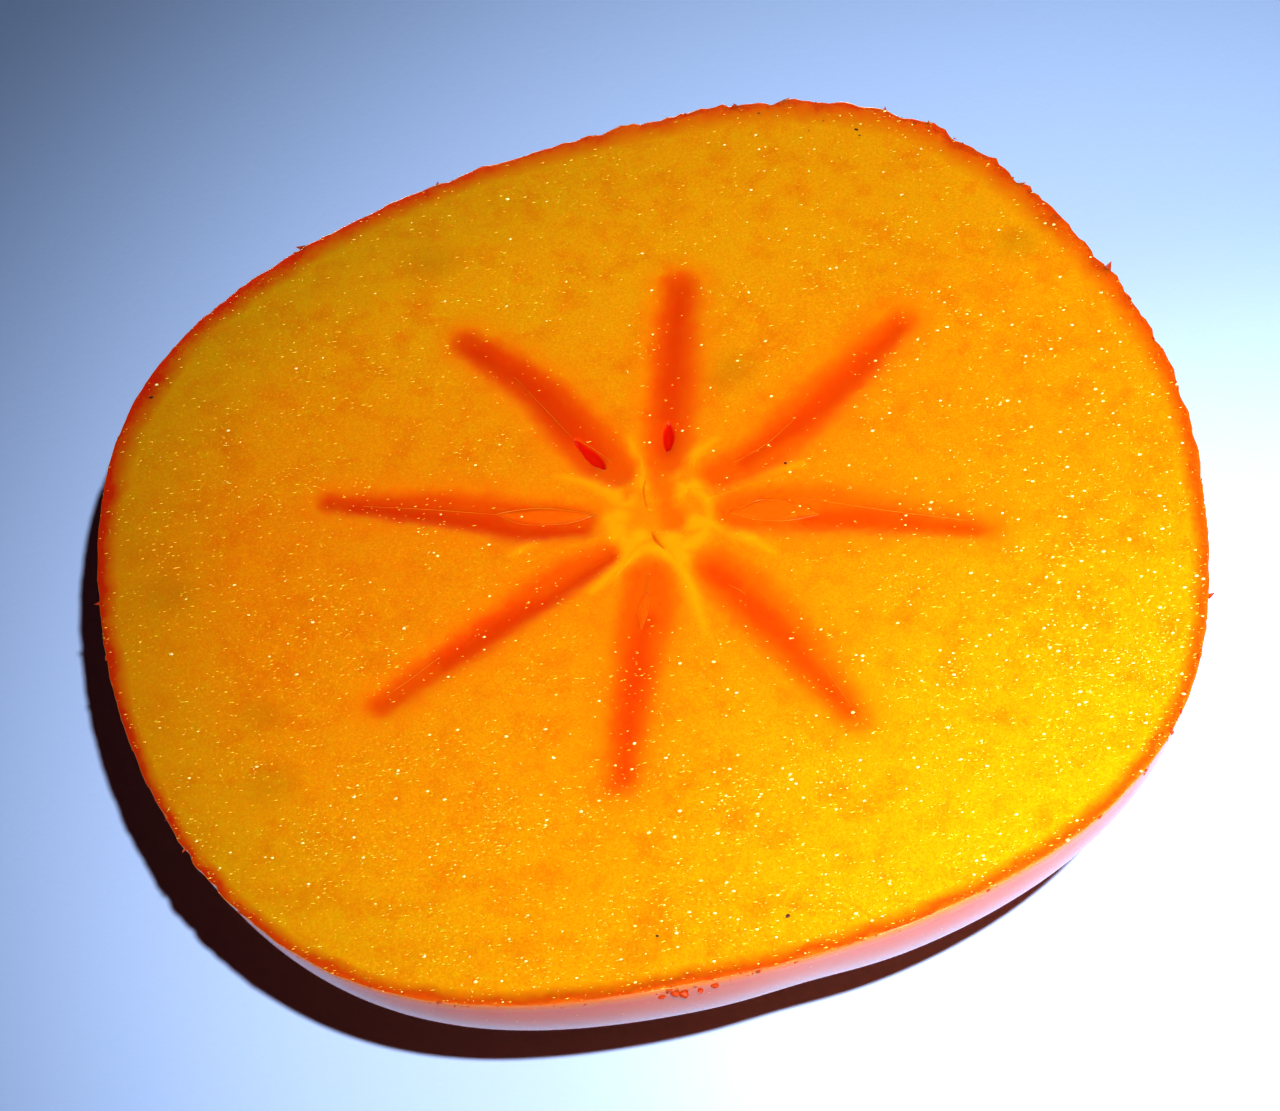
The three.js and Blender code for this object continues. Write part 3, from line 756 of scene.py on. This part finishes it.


# Cut cells full of juice, scattered over the face. The star has few of them, and on the lamp's side they
# crowd into painted highlight.
def cellTree():
    tree, given = newTree("wetCells", {
        "Fruit": "Object", "Most": "Float", "Smallest": "Float", "Largest": "Float", "Lean": "Vector",
        "Spread": "Float", "Shape": "Vector", "Dense": "Vector", "Centre": "Vector", "Spot": "Vector",
        "Top": "Float", "Seed": "Int", "Material": "Material"})
    body = add(tree, "GeometryNodeObjectInfo", {"Object": given["Fruit"]}, output="Geometry")
    place = add(tree, "GeometryNodeInputPosition")
    onCut = add(tree, "GeometryNodeInputNamedAttribute", {"Name": "onCut"}, data_type="FLOAT")
    slit = add(tree, "GeometryNodeInputNamedAttribute", {"Name": "slit"}, data_type="FLOAT")
    outside = add(tree, "FunctionNodeCompare", {"A": slit, "B": -0.3}, operation="LESS_THAN")
    away = add(tree, "ShaderNodeVectorMath", {0: place, 1: given["Centre"]}, operation="SUBTRACT")
    side = add(tree, "ShaderNodeVectorMath", {0: away, 1: given["Dense"]}, output="Value",
               operation="DOT_PRODUCT")
    side = add(tree, "ShaderNodeMapRange", {
        "Value": side, "From Min": wetCells["side"][0] * mm, "From Max": wetCells["side"][1] * mm,
        "To Min": 0.1, "To Max": 1.3})
    # Painted highlight: the pale cells crowd together round this pool.
    glintPool = add(tree, "ShaderNodeVectorMath", {0: away, 1: given["Spot"]}, output="Value",
               operation="DISTANCE")
    glintPool = add(tree, "ShaderNodeMapRange", {
        "Value": glintPool, "From Min": wetCells["glintPoolReach"][1] * mm,
        "From Max": wetCells["glintPoolReach"][0] * mm, "To Min": 1.0, "To Max": 2.6})
    away = add(tree, "ShaderNodeVectorMath", {0: away}, output="Value", operation="LENGTH")
    away = add(tree, "ShaderNodeMapRange", {
        "Value": away, "From Min": wetCells["star"][0] * mm, "From Max": wetCells["star"][1] * mm,
        "To Min": 0.12, "To Max": 1.0})
    clumps = add(tree, "ShaderNodeTexNoise", {
        "Vector": place, "Scale": 1 / (wetCells["clumps"] * mm), "Detail": 3, "Roughness": 0.6})
    clumps = add(tree, "ShaderNodeMapRange", {
        "Value": clumps, "From Min": 0.35, "From Max": 0.68, "To Min": 0.1, "To Max": 2.0})
    density = add(tree, "ShaderNodeMath", {0: side, 1: away}, operation="MULTIPLY")
    for factor in (clumps, glintPool, onCut, given["Most"]):
        density = add(tree, "ShaderNodeMath", {0: density, 1: factor}, operation="MULTIPLY")
    points = add(tree, "GeometryNodeDistributePointsOnFaces", {
        "Mesh": body, "Selection": outside, "Density": density, "Seed": given["Seed"]})
    turn = add(tree, "FunctionNodeRandomValue", {
        "Min": (-1, -1, -1), "Max": (1, 1, 1), "Seed": 3}, data_type="FLOAT_VECTOR")
    turn = add(tree, "ShaderNodeVectorMath", {0: turn, "Scale": given["Spread"]}, operation="SCALE")
    turn = add(tree, "ShaderNodeVectorMath", {0: turn, 1: given["Lean"]}, operation="ADD")
    turn = add(tree, "FunctionNodeAlignRotationToVector", {"Vector": turn}, axis="Z")
    luck = add(tree, "FunctionNodeRandomValue", {"Min": 0.0, "Max": 1.0, "Seed": 5}, data_type="FLOAT")
    luck = add(tree, "ShaderNodeMath", {0: luck, 1: 3}, operation="POWER")
    size = add(tree, "ShaderNodeMapRange", {
        "Value": luck, "To Min": given["Smallest"], "To Max": given["Largest"]})
    size = add(tree, "ShaderNodeVectorMath", {0: given["Shape"], "Scale": size}, operation="SCALE")
    cell = add(tree, "GeometryNodeMeshIcoSphere", {"Radius": 1, "Subdivisions": 1})
    cell = add(tree, "GeometryNodeSetShadeSmooth", {"Geometry": cell})
    cells = add(tree, "GeometryNodeInstanceOnPoints", {
        "Points": points, "Instance": cell, "Rotation": turn, "Scale": size})
    endTree(tree, keepBelow(tree, cells, given["Top"]), (given["Material"], True))
    return tree


cellRule = cellTree()
wetPieces = []
for sort in wetCells["sorts"]:
    wetPieces.append(meshPiece(sort["name"], []))
    useTree(wetPieces[-1], cellRule, {
        "Fruit": fruitHalf, "Most": sort["mostPerSquareMm"] / mm ** 2, "Smallest": sort["smallest"] * mm,
        "Largest": sort["largest"] * mm, "Lean": wetCells["lean"], "Spread": sort["spread"],
        "Shape": sort["shape"], "Dense": sort["dense"], "Seed": sort["seed"],
        "Centre": (starCentre.x * mm, starCentre.y * mm, fruit["height"] * mm),
        "Spot": (wetCells["spot"][0] * mm, wetCells["spot"][1] * mm, 0),
        "Top": fruit["height"] * mm, "Material": materials[sort["juice"]]})
    settle(wetPieces[-1])

torn = {
    "count": 1500,  # scraps round the whole rim, if all of it were torn
    "smallest": 0.05,
    "largest": 0.2,
    "shape": (1.3, 0.55, 0.6),  # along the rim, across it, upwards
    "reach": 0.06,  # how far the scraps lie outside the rim, at most
    "below": (0.05, 0.7),  # how far they lie below the cut
    "tagWidth": 0.7,  # of a tag that is 1 mm long
    "tagsBelow": 0.35,
    "tags": [  # the larger scraps: direction from the middle, length, lean
        (23.9, 1.0, 35), (-21.5, 0.55, 45), (124.7, 0.8, 30), (107.8, 0.6, -30), (72.6, 0.6, 40),
        (67.8, 0.7, -30), (57.1, 0.6, 20), (52.2, 0.5, 20), (39.4, 0.6, -25), (178.6, 0.45, 0),
        (-148.1, 0.35, 20)],
}


# Scraps of skin and flesh that the knife left along the rim, mostly where it came out.
def tornTree():
    tree, given = newTree("tornSkin", {
        "Outline": "Object", "Tags": "Object", "Axis": "Vector", "Count": "Int", "Smallest": "Float",
        "Largest": "Float", "Shape": "Vector", "Reach": "Float", "Lowest": "Float", "Highest": "Float",
        "Tag Radius": "Float", "Tag Length": "Float", "Top": "Float", "Material": "Material"})
    outline = add(tree, "GeometryNodeObjectInfo", {"Object": given["Outline"]}, output="Geometry")
    outline = add(tree, "GeometryNodeSetPosition", {"Geometry": outline, "Offset": given["Axis"]})
    curve = add(tree, "GeometryNodeMeshToCurve", {"Mesh": outline})
    spots = add(tree, "GeometryNodeCurveToPoints", {"Curve": curve, "Count": given["Count"]}).node.outputs
    place = add(tree, "GeometryNodeInputPosition")
    outward = add(tree, "ShaderNodeVectorMath", {0: place, 1: (1, 1, 0)}, operation="MULTIPLY")
    outward = add(tree, "ShaderNodeVectorMath", {0: outward}, operation="NORMALIZE")
    reach = add(tree, "ShaderNodeMath", {0: given["Reach"], 1: -2.0}, operation="MULTIPLY")
    reach = add(tree, "FunctionNodeRandomValue", {
        "Min": reach, "Max": given["Reach"], "Seed": 1}, data_type="FLOAT")
    shift = add(tree, "ShaderNodeVectorMath", {0: outward, "Scale": reach}, operation="SCALE")
    fall = add(tree, "FunctionNodeRandomValue", {
        "Min": given["Lowest"], "Max": given["Highest"], "Seed": 2}, data_type="FLOAT")
    fall = add(tree, "ShaderNodeCombineXYZ", {"Z": fall})
    shift = add(tree, "ShaderNodeVectorMath", {0: shift, 1: fall}, operation="ADD")
    points = add(tree, "GeometryNodeSetPosition", {"Geometry": spots["Points"], "Offset": shift})
    ragged = add(tree, "GeometryNodeInputNamedAttribute", {"Name": "ragged"}, data_type="FLOAT")
    luck = add(tree, "FunctionNodeRandomValue", {"Min": 0.0, "Max": 1.0, "Seed": 3}, data_type="FLOAT")
    chosen = add(tree, "FunctionNodeCompare", {"A": luck, "B": ragged}, operation="LESS_THAN")
    wild = add(tree, "FunctionNodeRandomValue", {
        "Min": (-0.5, -0.5, -0.5), "Max": (0.5, 0.5, 0.5), "Seed": 4}, data_type="FLOAT_VECTOR")
    turn = add(tree, "ShaderNodeVectorMath", {0: spots["Tangent"], 1: wild}, operation="ADD")
    turn = add(tree, "FunctionNodeAlignRotationToVector", {"Vector": turn}, axis="X")
    size = add(tree, "FunctionNodeRandomValue", {"Min": 0.0, "Max": 1.0, "Seed": 5}, data_type="FLOAT")
    size = add(tree, "ShaderNodeMath", {0: size, 1: 2.5}, operation="POWER")
    size = add(tree, "ShaderNodeMapRange", {
        "Value": size, "To Min": given["Smallest"], "To Max": given["Largest"]})
    size = add(tree, "ShaderNodeVectorMath", {0: given["Shape"], "Scale": size}, operation="SCALE")
    scrap = add(tree, "GeometryNodeMeshIcoSphere", {"Radius": 1, "Subdivisions": 1})
    scraps = add(tree, "GeometryNodeInstanceOnPoints", {
        "Points": points, "Selection": chosen, "Instance": scrap, "Rotation": turn, "Scale": size})

    tags = add(tree, "GeometryNodeObjectInfo", {"Object": given["Tags"]}, output="Geometry")
    length = add(tree, "GeometryNodeInputNamedAttribute", {"Name": "length"}, data_type="FLOAT")
    lean = add(tree, "GeometryNodeInputNamedAttribute", {"Name": "lean"}, data_type="FLOAT")
    pointing = add(tree, "ShaderNodeVectorRotate", {
        "Vector": outward, "Axis": (0, 0, 1), "Angle": lean}, rotation_type="AXIS_ANGLE")
    pointing = add(tree, "FunctionNodeAlignRotationToVector", {"Vector": pointing}, axis="Z")
    tag = add(tree, "GeometryNodeMeshCone", {
        "Vertices": 6, "Radius Bottom": given["Tag Radius"], "Depth": given["Tag Length"]},
        output="Mesh")
    tags = add(tree, "GeometryNodeInstanceOnPoints", {
        "Points": tags, "Instance": tag, "Rotation": pointing, "Scale": length})
    both = tree.nodes.new("GeometryNodeJoinGeometry")
    for geometry in (scraps, tags):
        tree.links.new(geometry, both.inputs[0])
    endTree(tree, keepBelow(tree, both.outputs[0], given["Top"]), (given["Material"], True))
    return tree


def onSide(direction, below):  # a place on the fruit's side, so far below the cut
    turn = math.radians(direction)
    outside = 60  # well clear of the skin
    start = Vector((outside * math.cos(turn), outside * math.sin(turn), fruit["height"] - below)) * mm
    _, place, _, _ = fruitHalf.ray_cast(start, Vector((-start.x, -start.y, 0)).normalized())
    return place / mm


tornSkin = meshPiece("torn_skin", [])
tags = meshPiece("tags", [onSide(turn, torn["tagsBelow"]) for turn, _, _ in torn["tags"]],
                 length=[length for _, length, _ in torn["tags"]],
                 lean=[math.radians(lean) for _, _, lean in torn["tags"]])
useTree(tornSkin, tornTree(), {
    "Outline": outline, "Tags": tags, "Axis": (axis[0] * mm, axis[1] * mm, 0), "Count": torn["count"],
    "Smallest": torn["smallest"] * mm, "Largest": torn["largest"] * mm, "Shape": torn["shape"],
    "Reach": torn["reach"] * mm, "Lowest": -torn["below"][1] * mm, "Highest": -torn["below"][0] * mm,
    "Tag Radius": torn["tagWidth"] / 2 * mm, "Tag Length": mm,
    "Top": fruit["height"] * mm, "Material": materials["torn"]})
settle(tornSkin)

# Grains of dried tannin in the cut, and nicks in the skin below it.
flecks = {
    "shape": (1.2, 0.8, 0.5),
    "sunk": 0.08,  # into the cut
    "onCut": [  # x and y from the star's centre, size
        (-33.8, 18.3, 0.14), (18.8, 32.5, 0.16), (-4.4, -33.2, 0.13), (1.3, -14.9, 0.1),
        (9.1, 2.8, 0.1), (3.8, -33.3, 0.16), (15.4, 33.2, 0.1), (12.1, 35.8, 0.1),
        (16.6, 33.9, 0.09), (18.9, 31.9, 0.12), (19.2, 31.2, 0.08)],
    "onSkin": [  # direction from the middle, how far below the cut, size
        (-95.9, 1.2, 0.2), (-94.6, 0.9, 0.3), (-93.8, 1.2, 0.34), (-92.1, 1.3, 0.2),
        (-90.7, 0.9, 0.24)],
}


def fleckTree():
    tree, given = newTree("tanninFlecks", {
        "Points": "Object", "Shape": "Vector", "Material": "Material"})
    points = add(tree, "GeometryNodeObjectInfo", {"Object": given["Points"]}, output="Geometry")
    size = add(tree, "GeometryNodeInputNamedAttribute", {"Name": "size"}, data_type="FLOAT")
    size = add(tree, "ShaderNodeVectorMath", {0: given["Shape"], "Scale": size}, operation="SCALE")
    turn = add(tree, "FunctionNodeRandomValue", {
        "Min": (-0.3, -0.3, 0), "Max": (0.3, 0.3, 6.3), "Seed": 6}, data_type="FLOAT_VECTOR")
    fleck = add(tree, "GeometryNodeMeshIcoSphere", {"Radius": mm, "Subdivisions": 2})
    made = add(tree, "GeometryNodeInstanceOnPoints", {
        "Points": points, "Instance": fleck, "Rotation": turn, "Scale": size})
    endTree(tree, made, (given["Material"], True))
    return tree


onCut = [(starCentre.x + x, starCentre.y + y, fruit["height"] - flecks["sunk"])
         for x, y, _ in flecks["onCut"]]
onSkin = [onSide(turn, below) for turn, below, _ in flecks["onSkin"]]
fleckRule = fleckTree()
fleckPieces, fleckPoints = [], []
for name, places, where, material in (
        ("tannin_flecks", onCut, "onCut", "tannin"), ("skin_nicks", onSkin, "onSkin", "torn")):
    fleckPoints.append(meshPiece(name + "_points", places, size=[size for _, _, size in flecks[where]]))
    fleckPieces.append(meshPiece(name, []))
    useTree(fleckPieces[-1], fleckRule, {
        "Points": fleckPoints[-1], "Shape": flecks["shape"], "Material": materials[material]})
    settle(fleckPieces[-1])

pieces = [fruitHalf, walls, *wetPieces, *fleckPieces, tornSkin]
for piece in pieces:
    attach(piece, "root")
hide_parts("persimmon_half")
for helper in [outline, section, tags] + fleckPoints + pathPieces:
    bpy.data.objects.remove(helper)
print("fruit placed")


paper = {"colour": "#bdd9fc", "grain": 0.7, "reach": 1500}  # reach is from the middle to each side


# The floor is pale blue-white paper, with a fine, dull grain.
def paperMaterial():
    material, tree = newMaterial("paper")
    place = add(tree, "ShaderNodeTexCoord", output="Object")
    grain = add(tree, "ShaderNodeTexNoise", {
        "Vector": place, "Scale": 1 / (paper["grain"] * mm), "Detail": 4, "Roughness": 0.7})
    finishMaterial(tree, {
        "Base Color": linear(paper["colour"]), "Roughness": 0.8, "Specular IOR Level": 0.2},
        bump=(grain, 0.05, 0.4))
    return material


corners = [(x * paper["reach"], y * paper["reach"], 0)
           for x, y in ((-1, -1), (1, -1), (1, 1), (-1, 1))]
floor = meshPiece("floor", corners, faces=[(0, 1, 2, 3)])
floor.data.materials.append(paperMaterial())


def stand(data, place, aim):  # a camera or lamp at a place, turned to its aim, both in millimetres
    thing = bpy.data.objects.new(data.name, data)
    thing.location = place * mm
    thing.rotation_mode = "QUATERNION"
    thing.rotation_quaternion = (aim - place).to_track_quat("-Z", "Y")
    bpy.context.scene.collection.objects.link(thing)
    return thing


# The camera looks down at the cut, a little turned about its own line of sight.
photo = {"elevation": 51, "distance": 272, "aim": (-1.65, -3.08), "lens": 113.4, "roll": -10}
tilt = math.radians(photo["elevation"])
target = Vector((starCentre.x, starCentre.y, fruit["height"]))
eye = target + photo["distance"] * Vector((0, -math.cos(tilt), math.sin(tilt)))
camera = stand(bpy.data.cameras.new("camera"), eye, target + Vector((*photo["aim"], 0)))
camera.rotation_quaternion = camera.rotation_quaternion @ Quaternion(
    (0, 0, 1), math.radians(photo["roll"]))
camera.data.lens = photo["lens"]
camera.data.sensor_width = 36
camera.data.clip_start = 0.01
bpy.context.scene.camera = camera

# One small lamp beside the camera. Its beam has a bright middle, so it is built from three cones.
lamp = {
    "azimuth": 15, "elevation": 60, "distance": 450, "size": 10, "colour": (1, 1.01, 1.1),
    "beams": [  # half angle, watts, blend, aim
        (40, 2.2, 0.6, (0, 0)), (13.5, 6.2, 1.0, (31, -23)), (8, 5.0, 1.0, (48, -42))],
}
side, rise = math.radians(lamp["azimuth"]), math.radians(lamp["elevation"])
lampPlace = lamp["distance"] * Vector((
    math.sin(side) * math.cos(rise), -math.cos(side) * math.cos(rise), math.sin(rise)))
for i, (halfAngle, watts, blend, spot) in enumerate(lamp["beams"]):
    beam = bpy.data.lights.new(f"lamp_{i}", "SPOT")
    beam.energy = watts
    beam.color = lamp["colour"]
    beam.spot_size = 2 * math.radians(halfAngle)
    beam.spot_blend = blend
    beam.shadow_soft_size = lamp["size"] / 2 * mm
    stand(beam, lampPlace, Vector((*spot, fruit["height"])))

# Broad, low lamps fill the skin on the sides turned away from the camera. They don't light the floor.
fill = {
    "distance": 420, "height": 30, "size": (320, 50), "aimHeight": 10,
    "lamps": [(15, 0.5), (90, 0.5), (165, 0.22)],  # direction, watts
}
lit = bpy.data.collections.new("lit_by_fill")
for piece in pieces:
    lit.objects.link(piece)
for turn, watts in fill["lamps"]:
    panel = bpy.data.lights.new(f"fill_{turn}", "AREA")
    panel.shape = "RECTANGLE"
    panel.size, panel.size_y = (size * mm for size in fill["size"])
    panel.energy = watts
    turn = math.radians(turn)
    place = Vector((
        fill["distance"] * math.cos(turn), fill["distance"] * math.sin(turn), fill["height"]))
    stood = stand(panel, place, Vector((0, 0, fill["aimHeight"])))
    stood.light_linking.receiver_collection = lit

# The surroundings are almost dark, and faintly blue.
world = bpy.data.worlds.new("studio")
world.use_nodes = True
background = world.node_tree.nodes["Background"].inputs
background["Color"].default_value = (0.05, 0.25, 1.0, 1)
background["Strength"].default_value = 0.008
bpy.context.scene.world = world
bpy.context.scene.view_settings.view_transform = "Standard"
bpy.context.scene.view_settings.look = "High Contrast"
print("camera, lamps and surroundings set")
